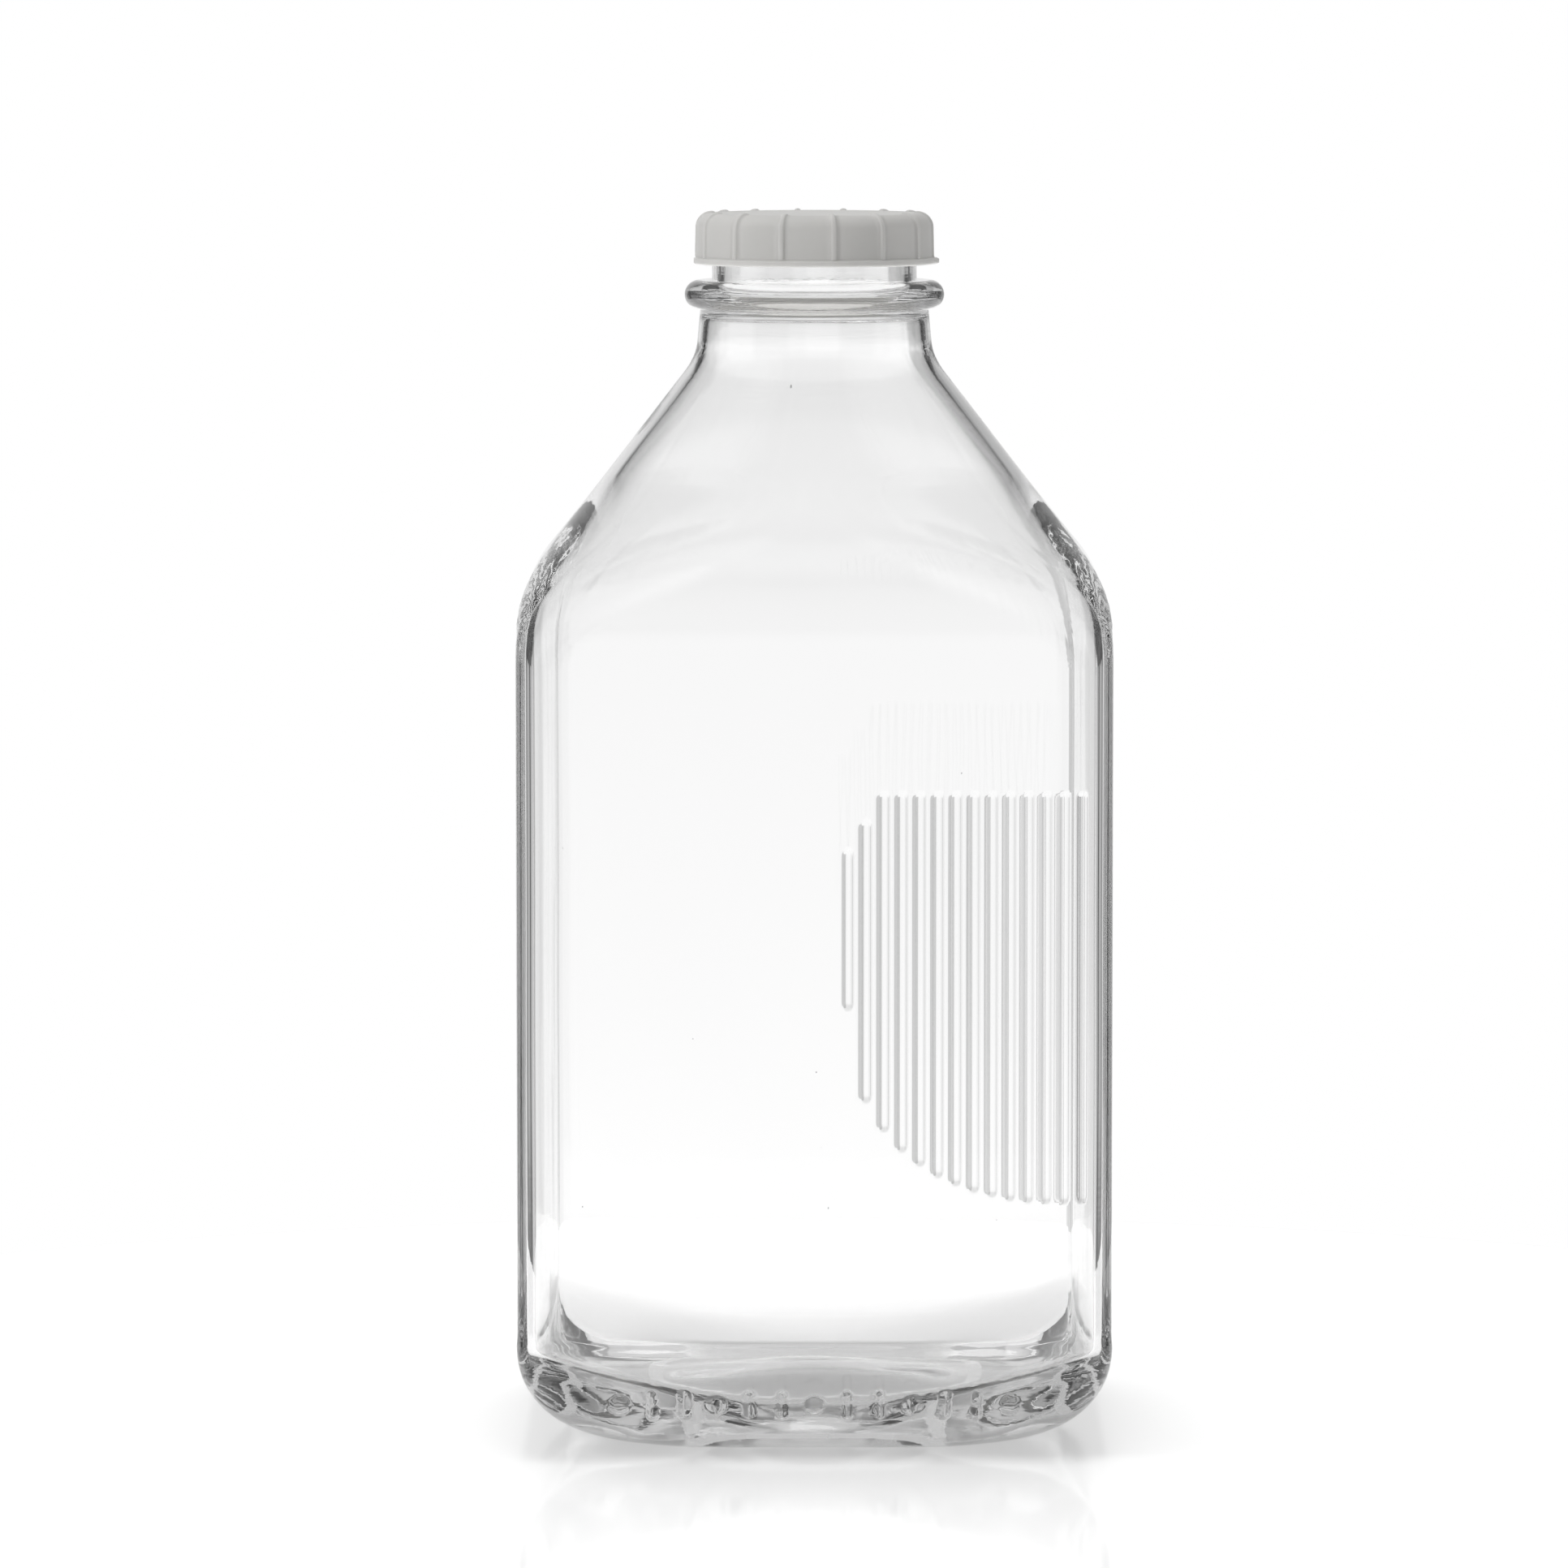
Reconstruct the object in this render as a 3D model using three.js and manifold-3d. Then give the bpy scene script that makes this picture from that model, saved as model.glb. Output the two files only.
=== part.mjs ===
// Square glass milk bottle with a push-on plastic cap.
// Millimetres, +Z up, the front faces -Y. The origin is the centre of the base, on the ground.
import * as THREE from 'three';
import { mergeVertices } from 'three/addons/utils/BufferGeometryUtils.js';
import Module from 'manifold-3d';

const { PI, abs, cos, max, min, sin, sqrt } = Math;
const wasm = await Module();
wasm.setup();

// Driving dimensions of the glass
const BODY_HALF = 57.7;        // half the width across the flat sides
const HEEL_PROUD = 0.15;       // the heel stands out this far past the sides
const HEEL_STEP = 2.5;         // height of the ramp between them
const CORNER_R = 9;            // upright corners of the body
const INNER_CORNER_R = 5.7;
const WALL = 3.3;              // sides of the body
const CONE_WALL = 2.2;         // and the shoulder's upper end
const THIN_LOW_Z = 158;        // the wall thins between these heights
const THIN_HIGH_Z = 200;
const NECK_WALL = 1.9;
const HEEL_IN = 24.5;          // the heel curves in this far
const HEEL_H = 22;
const BASE_CORNER_R = 20;      // corners of the outline that the bottle stands on
const INNER_ROUND = 0.97;      // the inside is nearly round at its floor
const INNER_SQUARING = 5;      // how late its corners turn square, going up the heel
const BEARING_W = 3.5;         // width of the flat ring that it stands on
const PUSH_UP = 4;             // rise of the underside at its centre
const FLOOR_T = 6.5;           // glass under the liquid
const CONE_R = 28.5;           // the shoulder cone's radius at CONE_Z
const CONE_Z = 205.6;
const CONE_SLOPE = 0.7755;     // radius gained per millimetre down
const SHOULDER_BLEND = 5;      // how far the cone and the flat sides melt together
const ROUND_Z = 188;           // the shoulder is round above this height
const SQUARE_Z = 154;          // and as square as the body below this one
const NECK_LOW_R = 23.45;      // neck at the foot of its slight taper
const NECK_LOW_Z = 211.8;
const NECK_TAPER = 0.09;
const NECK_BLEND = 2.1;
const BEAD_Z = 224.4;          // full round transfer bead
const BEAD_MID_R = 22.8;
const BEAD_TUBE = 2.85;
const FINISH_R = 20.2;         // glass between the bead and the lip
const LOCK_R = 21.3;           // small bead that the cap snaps over
const LOCK_Z = 234.6;
const LOCK_CREST = 0.4;        // half the height of its crest
const LOCK_FOOT = 1.76;        // and of its foot
const LIP_Z = 238.8;
const LIP_ROUND = 1.1;
const BORE_R = 18;
const BORE_LOW_Z = 219;        // the bore opens out to the neck's inside between these heights
const BORE_HIGH_Z = 227;

// Grip ribs: upright bars on the right half of the front face
const RIB_COUNT = 14;
const RIB_FIRST_X = 6.5;
const RIB_PITCH = 3.47;
const RIB_W = 1.95;
const RIB_H = 0.5;
const RIB_BEVEL = 0.9;         // share of its height that is bevelled
const RIB_ROOT = 1.6;          // length of rib sunk in the wall
const RIB_TOP_Z = 130.8;
const RIB_STEP_Z = 5.5;        // the first two tops step down by this much
const RIB_MID_Z = 88.9;        // height at which the outline's lower left curve starts
const RIB_LOW_Z = 51.2;
const RIB_CURVE = 2.3;         // exponent of that curve; 2 would be an ellipse
const RIB_CURVE_SPAN = 12;     // ribs that the curve runs over

// Driving dimensions of the cap
const CAP_R = 23.2;
const CAP_TOP_Z = 240.5;
const CAP_LOW_Z = 230.4;
const CAP_ROUND = 2.9;
const CAP_WALL = 0.9;
const DISC_UNDER_Z = 239.1;
const RIM_R = 23.85;
const RIM_H = 1.3;
const RIM_EDGE = 0.3;          // bevels on the rim
const SNAP_R = 21.65;          // inner ring that holds the cap under the lock bead
const SNAP_Z = 232;
const SNAP_CREST = 0.2;        // half the height of its crest
const SNAP_FOOT = 0.9;         // and of its foot
const PLUG_R = 17.6;
const PLUG_T = 1;
const PLUG_H = 3;
const PLUG_LEAD_IN = 0.4;      // taper at the plug's lower end
const PLUG_LEAD_H = 0.8;       // and its height
const CAP_RIBS = 14;
const CAP_RIB_H = 0.35;
const CAP_RIB_TOP = 0.8;       // half the crest of a rib, degrees
const CAP_RIB_FOOT = 1.7;      // half the foot of a rib, degrees
const CAP_RIB_PHASE = 9.4;     // the first rib right of the front, degrees
const CAP_RIB_START_R = 19.6;
const RIB_FOOT_H = 0.1;        // the cap's ribs rise out of the rim within this height
const TAB_OUT = 0.8;           // lift tab on the rim's right
const TAB_HALF = 3;
const TAB_T = 0.9;
const TAB_ROOT = 0.6;          // depth of the tab sunk in the cap's skirt

// Where the glass surface has its levels, and its upright columns
const DOME_STOPS = [0.3, 0.55, 0.8];
const HEEL_TURNS = [0, 15, 30, 45, 60, 75, 90];
const SHOULDER_HEIGHTS = [SQUARE_Z, 158, 162, 165, 168, 171, 175, 181, ROUND_Z];
const NECK_HEIGHTS = [208, 211, 214, BEAD_Z - BEAD_TUBE];
const BEAD_TURNS = [-65, -33, 0, 33, 65, 100];
const BORE_HEIGHTS = [BORE_HIGH_Z, 223, BORE_LOW_Z, 213, 209, 205, 200];
const GLASS_COLUMNS = 56;
const CORNER_BUNCHING = 0.65;  // how far the columns crowd towards the corners
const deg = PI / 180;

const steps = (count) => Array.from({ length: count }, (_, i) => i);
const mix = THREE.MathUtils.lerp;
const ramp = (x) => THREE.MathUtils.smoothstep(x, 0, 1);
const smoothMin = (a, b, k) => min(a, b) - max(k - abs(a - b), 0) ** 2 / (4 * k);
const smoothMax = (a, b, k) => -smoothMin(-a, -b, k);

// Distance from the axis to the side of a square with rounded corners, along angle
function squareRadius(angle, half, corner) {
  const c = max(abs(cos(angle)), abs(sin(angle)));
  const s = min(abs(cos(angle)), abs(sin(angle)));
  const middle = half - corner;
  if (half * s <= middle * c) return half / c;
  const along = middle * (c + s);
  return along + sqrt(max(along * along - 2 * middle * middle + corner * corner, 0));
}

const coneRadius = (z) => CONE_R + CONE_SLOPE * (CONE_Z - z);
const neckRadius = (z) => NECK_LOW_R - NECK_TAPER * (z - NECK_LOW_Z);
const outerRound = (z) => smoothMax(coneRadius(z), neckRadius(z), NECK_BLEND);
const wall = (z) => mix(WALL, CONE_WALL, ramp((z - THIN_LOW_Z) / (THIN_HIGH_Z - THIN_LOW_Z)));

function innerRound(z) {
  const bore = mix(neckRadius(z) - NECK_WALL, BORE_R, ramp((z - BORE_LOW_Z) / (BORE_HIGH_Z - BORE_LOW_Z)));
  const acrossCone = wall(z) * sqrt(1 + CONE_SLOPE * CONE_SLOPE);
  return smoothMax(coneRadius(z) - acrossCone, bore, NECK_BLEND);
}

// One level of the glass: its height, and its radius at an angle
const roundLevel = (r, z) => ({ z, at: () => r });
const squareLevel = (half, corner, z) => ({ z, at: (angle) => squareRadius(angle, half, corner) });

// Round where round is smaller than the body, and squarer towards the flat sides
function shoulderLevel(round, side, corner, z) {
  const half = smoothMin(round, side, SHOULDER_BLEND);
  const squareness = ramp((ROUND_Z - z) / (ROUND_Z - SQUARE_Z));
  return squareLevel(half, mix(half, corner, squareness), z);
}

function bodyLevel(z) {
  const proud = HEEL_PROUD * ramp(1 - (z - HEEL_H) / HEEL_STEP);
  return shoulderLevel(outerRound(z), BODY_HALF + proud, CORNER_R, z);
}

const innerLevel = (z) => shoulderLevel(innerRound(z), BODY_HALF - wall(z), INNER_CORNER_R, z);

// The heel is a quarter ellipse that carries the base outline out to the body
function outerHeelLevel(turn) {
  const t = sin(turn);
  const half = BODY_HALF + HEEL_PROUD - HEEL_IN * (1 - t);
  return squareLevel(half, mix(BASE_CORNER_R, CORNER_R, t), HEEL_H * (1 - cos(turn)));
}

function innerHeelLevel(turn) {
  const t = sin(turn);
  const half = BODY_HALF - WALL - (HEEL_IN - WALL) * (1 - t);
  const corner = mix(half * INNER_ROUND, INNER_CORNER_R, t ** INNER_SQUARING);
  return squareLevel(half, corner, FLOOR_T + (HEEL_H - FLOOR_T) * (1 - cos(turn)));
}

// Part of the pushed-up base at share t of the way out, level at its middle and at its edge
function domeLevel(t, half, corner, low) {
  return squareLevel(half * t, mix(half, corner, t) * t, low + PUSH_UP * (1 - t * t) ** 2);
}

function underside() {
  const half = BODY_HALF - HEEL_IN - BEARING_W;
  const corner = BASE_CORNER_R - BEARING_W;
  return [...DOME_STOPS, 1].map((t) => domeLevel(t, half, corner, 0));
}

function outside() {
  const heel = HEEL_TURNS.map((turn) => outerHeelLevel(turn * deg));
  return [...heel, ...[HEEL_H + HEEL_STEP, ...SHOULDER_HEIGHTS, ...NECK_HEIGHTS].map(bodyLevel)];
}

function bead() {
  const out = (t) => BEAD_MID_R + BEAD_TUBE * cos(t * deg);
  const ring = BEAD_TURNS.map((t) => roundLevel(out(t), BEAD_Z + BEAD_TUBE * sin(t * deg)));
  return [...ring, roundLevel(FINISH_R, BEAD_Z + BEAD_TUBE)];
}

function lip() {
  const foot = [FINISH_R, LOCK_FOOT];
  const crest = [LOCK_R, LOCK_CREST];
  const lock = [[foot[0], -foot[1]], [crest[0], -crest[1]], crest, foot];
  const outer = [0, 45, 90].map((t) => [FINISH_R - LIP_ROUND * (1 - cos(t * deg)), sin(t * deg)]);
  const inner = [90, 45, 0].map((t) => [BORE_R + LIP_ROUND * (1 - cos(t * deg)), sin(t * deg)]);
  return [
    ...lock.map(([r, up]) => roundLevel(r, LOCK_Z + up)),
    ...[...outer, ...inner].map(([r, up]) => roundLevel(r, LIP_Z - LIP_ROUND * (1 - up))),
  ];
}

function inside() {
  const heights = [...BORE_HEIGHTS, ...[...SHOULDER_HEIGHTS].reverse()];
  const heel = [...HEEL_TURNS].reverse().map((turn) => innerHeelLevel(turn * deg));
  const half = BODY_HALF - HEEL_IN;
  const floor = [...DOME_STOPS].reverse().map((t) => domeLevel(t, half, half * INNER_ROUND, FLOOR_T));
  return [...heights.map(innerLevel), ...heel, ...floor];
}

// A closed surface through rings of points, from the point low to the point high
function loft(rings, low, high) {
  const count = rings[0].length;
  const points = [low, ...rings.flat(), high];
  const last = points.length - 1;
  const id = (ring, column) => 1 + ring * count + (column % count);
  const faces = [];
  for (const j of steps(count)) {
    faces.push(0, id(0, j + 1), id(0, j));
    faces.push(id(rings.length - 1, j), id(rings.length - 1, j + 1), last);
    for (const i of steps(rings.length - 1)) {
      faces.push(id(i, j), id(i, j + 1), id(i + 1, j + 1));
      faces.push(id(i, j), id(i + 1, j + 1), id(i + 1, j));
    }
  }
  const geometry = new THREE.BufferGeometry();
  geometry.setAttribute('position', new THREE.Float32BufferAttribute(points.flat(), 3));
  geometry.setIndex(faces);
  return geometry;
}

function solidOf(geometry) {
  geometry.deleteAttribute('normal');
  geometry.deleteAttribute('uv');
  const merged = mergeVertices(geometry, 1e-4);
  const vertProperties = new Float32Array(merged.attributes.position.array);
  const triVerts = new Uint32Array(merged.index.array);
  return new wasm.Manifold(new wasm.Mesh({ numProp: 3, vertProperties, triVerts }));
}

function geometryOf(solid) {
  const mesh = solid.getMesh();
  const geometry = new THREE.BufferGeometry();
  geometry.setAttribute('position', new THREE.Float32BufferAttribute(mesh.vertProperties, mesh.numProp));
  geometry.setIndex(Array.from(mesh.triVerts));
  return geometry;
}

function ribHeights(i) {
  const across = 1 - min(i / RIB_CURVE_SPAN, 1);
  const curve = (1 - across ** RIB_CURVE) ** (1 / RIB_CURVE);
  const top = RIB_TOP_Z - RIB_STEP_Z * max(2 - i, 0);
  return [mix(RIB_MID_Z, RIB_LOW_Z, curve), top];
}

// An upright bar with round ends, drawn in x and z and standing out towards -Y
function ribGeometry(i) {
  const [low, high] = ribHeights(i);
  const bevel = RIB_H * RIB_BEVEL;
  const r = RIB_W / 2 - bevel;
  const outline = new THREE.Shape();
  outline.absarc(0, high - RIB_W / 2, r, 0, PI, false);
  outline.absarc(0, low + RIB_W / 2, r, PI, 2 * PI, false);
  const body = { depth: RIB_H + RIB_ROOT - 2 * bevel, curveSegments: 2 };
  const edge = { bevelThickness: bevel, bevelSize: bevel, bevelSegments: 1 };
  const rib = new THREE.ExtrudeGeometry(outline, { ...body, ...edge });
  rib.rotateX(PI / 2);
  const root = BODY_HALF - RIB_ROOT + bevel;
  return rib.translate(RIB_FIRST_X + i * RIB_PITCH, -root, 0);
}

function bottle() {
  const turns = steps(GLASS_COLUMNS).map((i) => (2 * PI * i) / GLASS_COLUMNS);
  const angles = turns.map((t) => t + (CORNER_BUNCHING / 4) * sin(4 * t));
  const levels = [...underside(), ...outside(), ...bead(), ...lip(), ...inside()];
  const ring = ({ z, at }) => angles.map((a) => [at(a) * cos(a), at(a) * sin(a), z]);
  const plain = solidOf(loft(levels.map(ring), [0, 0, PUSH_UP], [0, 0, PUSH_UP + FLOOR_T]));
  const ribbed = steps(RIB_COUNT).reduce((glass, i) => glass.add(solidOf(ribGeometry(i))), plain);
  return geometryOf(ribbed);
}

// One stop on the cap's outline: radius, height, and how far a rib stands out there, along and up
const stop = (r, z, out = 0, up = 0) => ({ r, z, out, up });

function capOutline() {
  const skirtIn = CAP_R - CAP_WALL;
  const plugIn = PLUG_R - PLUG_T;
  const plugLow = DISC_UNDER_Z - PLUG_H;
  const under = [stop(plugIn, DISC_UNDER_Z), stop(plugIn, plugLow)];
  const plug = [stop(PLUG_R - PLUG_LEAD_IN, plugLow), stop(PLUG_R, plugLow + PLUG_LEAD_H)];
  const corner = [stop(PLUG_R, DISC_UNDER_Z), stop(skirtIn, DISC_UNDER_Z)];
  const snapUpper = [[skirtIn, SNAP_FOOT], [SNAP_R, SNAP_CREST]];
  const snapLower = [[SNAP_R, -SNAP_CREST], [skirtIn, -SNAP_FOOT]];
  const rimLower = [[skirtIn, 0], [RIM_R - RIM_EDGE, 0], [RIM_R, RIM_EDGE]];
  const rimUpper = [[RIM_R, RIM_H - RIM_EDGE], [CAP_R, RIM_H]];
  const skirt = stop(CAP_R, CAP_LOW_Z + RIM_H + RIB_FOOT_H, CAP_RIB_H);
  const round = [0, 30, 60, 90].map((t) => stop(
    CAP_R - CAP_ROUND * (1 - cos(t * deg)), CAP_TOP_Z - CAP_ROUND * (1 - sin(t * deg)),
    CAP_RIB_H * cos(t * deg), CAP_RIB_H * sin(t * deg)));
  return [
    ...under, ...plug, ...corner,
    ...[...snapUpper, ...snapLower].map(([r, up]) => stop(r, SNAP_Z + up)),
    ...[...rimLower, ...rimUpper].map(([r, up]) => stop(r, CAP_LOW_Z + up)),
    skirt, ...round, stop(CAP_RIB_START_R, CAP_TOP_Z),
  ];
}

function cap() {
  const pitch = 360 / CAP_RIBS;
  const cell = [[-CAP_RIB_FOOT, 0], [-CAP_RIB_TOP, 1], [CAP_RIB_TOP, 1], [CAP_RIB_FOOT, 0], [pitch / 2, 0]];
  const columns = steps(CAP_RIBS).flatMap((i) => cell.map(([a, on]) => (
    { angle: (CAP_RIB_PHASE - 90 + i * pitch + a) * deg, on })));
  const point = ({ r, z, out, up }, { angle, on }) => {
    const reach = r + out * on;
    return [reach * cos(angle), reach * sin(angle), z + up * on];
  };
  const rings = capOutline().map((s) => columns.map((column) => point(s, column)));
  const body = solidOf(loft(rings, [0, 0, DISC_UNDER_Z], [0, 0, CAP_TOP_Z]));
  return geometryOf(body.add(solidOf(tab())));
}

// The lift tab: a low rounded nub on the rim, towards +X
function tab() {
  const outline = new THREE.Shape();
  outline.moveTo(CAP_R - TAB_ROOT, -TAB_HALF);
  outline.quadraticCurveTo(RIM_R + 2 * TAB_OUT, 0, CAP_R - TAB_ROOT, TAB_HALF);
  outline.closePath();
  const nub = new THREE.ExtrudeGeometry(outline, { depth: TAB_T, bevelEnabled: false, curveSegments: 8 });
  return nub.translate(0, 0, CAP_LOW_Z + (RIM_H - TAB_T) / 2);
}

function mesh(name, geometry, colour, roughness) {
  const material = new THREE.MeshStandardMaterial({ color: colour, roughness, metalness: 0 });
  const part = new THREE.Mesh(geometry, material);
  part.name = name;
  return part;
}

const group = new THREE.Group();
group.add(mesh('glass_bottle', bottle(), 0xeef2f0, 0.03));
group.add(mesh('cap', cap(), 0xd2d0cc, 0.45));
export default group;
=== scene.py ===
"""A square glass milk bottle with a push-on plastic cap, on a plain white floor in soft studio light.

Lengths named here are in millimetres and become metres where a mesh is made. The bottle's and the cap's places and
overall sizes come from the frame.
"""

import math
import random

import bpy
import numpy as np
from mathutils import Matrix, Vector, noise


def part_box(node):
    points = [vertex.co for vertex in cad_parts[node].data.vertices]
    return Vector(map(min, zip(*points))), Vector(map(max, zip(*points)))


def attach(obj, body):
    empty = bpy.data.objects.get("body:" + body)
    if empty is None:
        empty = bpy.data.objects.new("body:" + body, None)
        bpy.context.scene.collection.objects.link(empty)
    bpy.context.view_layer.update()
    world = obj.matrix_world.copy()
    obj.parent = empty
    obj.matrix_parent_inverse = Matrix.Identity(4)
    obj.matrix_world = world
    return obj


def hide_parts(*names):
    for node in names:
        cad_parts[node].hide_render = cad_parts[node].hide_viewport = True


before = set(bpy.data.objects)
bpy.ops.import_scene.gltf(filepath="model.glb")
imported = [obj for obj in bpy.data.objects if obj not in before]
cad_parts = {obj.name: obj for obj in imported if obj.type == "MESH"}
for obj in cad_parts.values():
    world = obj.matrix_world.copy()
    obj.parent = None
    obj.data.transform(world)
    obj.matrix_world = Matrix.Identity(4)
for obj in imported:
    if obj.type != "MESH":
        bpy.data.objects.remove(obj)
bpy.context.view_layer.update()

MM = 0.001

GLASS_HIGH = np.array(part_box("glass_bottle")[1]) / MM
CAP_LOW, CAP_HIGH = [np.array(corner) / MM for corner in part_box("cap")]

# The glass
HEEL_PROUD = 0.15            # the heel stands out this far past the flat sides
HEEL_STEP = 2.5              # and falls back to them over this height
BODY_HALF = GLASS_HIGH[0] - HEEL_PROUD
CORNER_R = 9.0
INNER_CORNER_R = 5.7
FLAT_END = BODY_HALF - CORNER_R
CORNER_COLUMNS = 21
LEAST_GAP = 0.0015           # radians between columns
WALL = 3.3
CONE_WALL = 2.2
THIN_LOW_Z = 158.0           # the wall thins between these heights
THIN_HIGH_Z = 200.0
NECK_WALL = 1.9
INNER_BASE_ROUND = 0.97      # the inside is nearly round at its floor
INNER_SQUARING = 5           # how late its corners turn square, going up the heel
HEEL_MELT = 14.0             # degrees over which the heel's flats run into its corners
MELT_STEPS = 11
DOME_ROUND = 0.98            # the underside is nearly round at its middle
DOME_EDGE_ROUND = 0.6        # and less so where it meets the bearing ring
HEEL_IN = 24.5
HEEL_H = 22.0
BASE_CORNER_R = 20.0
BEARING_W = 3.5
PUSH_UP = 4.0
FLOOR_T = 6.5
CONE_R = 28.5
CONE_Z = 205.6
CONE_SLOPE = 0.7755
SHOULDER_BLEND = 5.0
ROUND_Z = 188.0              # round above this height
SQUARE_Z = 154.0             # square below this one
NECK_LOW_R = 23.45
NECK_LOW_Z = 211.8
NECK_TAPER = 0.09
NECK_BLEND = 2.1
BEAD_Z = 224.4
BEAD_MID_R = 22.8
BEAD_TUBE = 2.85
BEAD_FOOT = 0.82             # the finish starts this share of the tube above the bead's middle
FINISH_R = 20.2
LOCK_R = 21.3
LOCK_Z = 234.6
LOCK_HALF = 1.75
LIP_Z = GLASS_HIGH[2]
LIP_ROUND = 1.1
BORE_R = 18.0
BORE_LOW_Z = 219.0
BORE_HIGH_Z = 227.0
RIPPLE = 0.06                # waviness of the blown inner surface
HEEL_WAVES = 0.11            # and of the thick glass in the heel
HEEL_WAVES_TOP = 26.0
HEEL_WAVES_FADE = 12.0
SEED_COUNT = 26              # small bubbles in the walls
SEED_DRAW = 11
SEED_Z = (30, 205)
SEED_R = (0.07, 0.17)
SEED_DEPTH = (0.8, 1.4)      # below the outside
SEED_TALL = (1, 2.2)         # times its width

# Grip ribs on the right half of the front
RIB_COUNT = 14
RIB_FIRST_X = 6.5
RIB_PITCH = 3.47
RIB_W = 1.95
RIB_H = 0.5
RIB_TOP_Z = 130.8
RIB_STEP_Z = 5.5
RIB_MID_Z = 88.9
RIB_LOW_Z = 51.2
RIB_CURVE = 2.3
RIB_CURVE_SPAN = 12

# Raised mould marks round the front heel
MARK_Z = 11.4
MARK_PITCH = 6.3
MARK_COUNT = 13
DOT_R = 1.9
BAR_R = 0.95
BAR_REACH = 3.0
MARK_H = 0.65

# The cap
CAP_TOP_Z = CAP_HIGH[2] - 0.35
CAP_LOW_Z = CAP_LOW[2]
CAP_R = 23.2
CAP_ROUND = 2.9
CAP_WALL = 0.9
CAP_DISH = 0.12              # the top sinks this far towards its middle
DISC_T = 1.4
RIM_R = 23.85
RIM_H = 1.3
RIM_ROUND = 0.35
SKIRT_EDGE_ROUND = 0.15
SNAP_R = 21.65
SNAP_Z = CAP_LOW_Z + 1.6
SNAP_HALF = 0.9
PLUG_R = 17.6
PLUG_T = 1.0
PLUG_H = 3.0
PLUG_ROUND = 0.4
CAP_RIBS = 14
CAP_RIB_H = 0.35
CAP_RIB_HALF = 1.5           # degrees
CAP_RIB_PHASE = 9.4          # degrees right of the front
CAP_RIB_START_R = 19.6
TAB_OUT = 0.8
TAB_HALF = 7.0               # degrees

# The materials
GLASS_IOR = 1.5
GLASS_DENSITY = 3.0          # how much light the glass takes up, per metre
STREAKS = (90, 90, 900)      # noise per metre: level streaks where the glass was worked
WAVES = (60, 60, 25)         # and slow waves all over
WORKED_SPAN = 250.0          # the heights below are shares of this one
WORKED_GLASS = [(0, 1), (0.05, 1), (0.1, 0.08), (0.8, 0.05), (0.84, 0.5), (0.87, 0.8), (0.92, 1), (1, 1)]
GLASS_RELIEF = 0.02
CAP_TONES = [(0.59, 0.59, 0.575, 1), (0.65, 0.64, 0.625, 1)]
CAP_FLOW = (90, 90, 40)      # noise per metre of the plastic's tone and gloss
CAP_SMOOTH = 0.34            # its least roughness
CAP_UNEVEN = 0.16            # and how much rougher it gets
CAP_GRAIN = (2600, 2600, 2600)
CAP_GRAIN_H = 0.004

# The camera: the photograph's viewing distance, height and framing
CAMERA_BACK = 1850.0
CAMERA_UP = 290.0
AIM_UP = 127.3
LENS = 214.9
FRAME_SHIFT = -0.0194

# The studio
FLOOR_R = 300.0
FLOOR_DEPTH = 5.0
FLOOR_RINGS = 12
LIGHT_AIM_UP = 150.0

# How bright the flags between the panels are, and the sky that matte surfaces see, front and back
GREY_FLAG = 0.62
MID_FLAG = 0.42
PALE_FLAG = 0.92
DARK_FLAG = 0.02
TILTED_FLAG = 0.07
FRONT_SKY = 0.4
BACK_SKY = 1.0


def ramp(x):
    t = np.clip(x, 0, 1)
    return t * t * (3 - 2 * t)


def mix(a, b, t):
    return a + (b - a) * t


def smooth_min(a, b, k):
    return np.minimum(a, b) - np.maximum(k - np.abs(a - b), 0) ** 2 / (4 * k)


def smooth_max(a, b, k):
    return -smooth_min(-a, -b, k)


def square_radius(angles, half, corner):
    """Distance from the axis to the side of a square with rounded corners, along each angle."""
    c = np.maximum(np.abs(np.cos(angles)), np.abs(np.sin(angles)))
    s = np.minimum(np.abs(np.cos(angles)), np.abs(np.sin(angles)))
    middle = half - corner
    along = middle * (c + s)
    round_part = along + np.sqrt(np.maximum(along ** 2 - 2 * middle ** 2 + corner ** 2, 0))
    return np.where(half * s <= middle * c, half / c, round_part)


# ---------------------------------------------------------------- meshes

def mesh_object(name, points, faces, material):
    """A smooth-shaded object from points in millimetres."""
    mesh = bpy.data.meshes.new(name)
    mesh.from_pydata((np.asarray(points) * MM).tolist(), [], faces)
    mesh.update()
    mesh.polygons.foreach_set("use_smooth", [True] * len(mesh.polygons))
    mesh.materials.append(material)
    piece = bpy.data.objects.new(name, mesh)
    bpy.context.scene.collection.objects.link(piece)
    return piece


def loft(rings, low, high):
    """Points and faces of a closed surface through a grid of rings, from the point low to the point high."""
    levels, columns = rings.shape[:2]
    points = np.vstack([[low], rings.reshape(-1, 3), [high]])
    last = len(points) - 1
    near = np.arange(columns)
    far = (near + 1) % columns
    quads = []
    for i in range(levels - 1):
        a = 1 + i * columns
        b = a + columns
        quads.append(np.stack([a + near, a + far, b + far, b + near], axis=1))
    faces = np.vstack(quads).tolist()
    top = 1 + (levels - 1) * columns
    faces += [[0, 1 + j, 1 + i] for i, j in zip(near.tolist(), far.tolist())]
    faces += [[top + i, top + j, last] for i, j in zip(near.tolist(), far.tolist())]
    return points, faces


def grid_normals(rings):
    """Outward unit normals of a grid of rings that runs up the outside."""
    along = np.roll(rings, -1, axis=1) - np.roll(rings, 1, axis=1)
    up = np.gradient(rings, axis=0)
    normals = np.cross(along, up)
    return normals / np.maximum(np.linalg.norm(normals, axis=2, keepdims=True), 1e-9)


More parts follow.
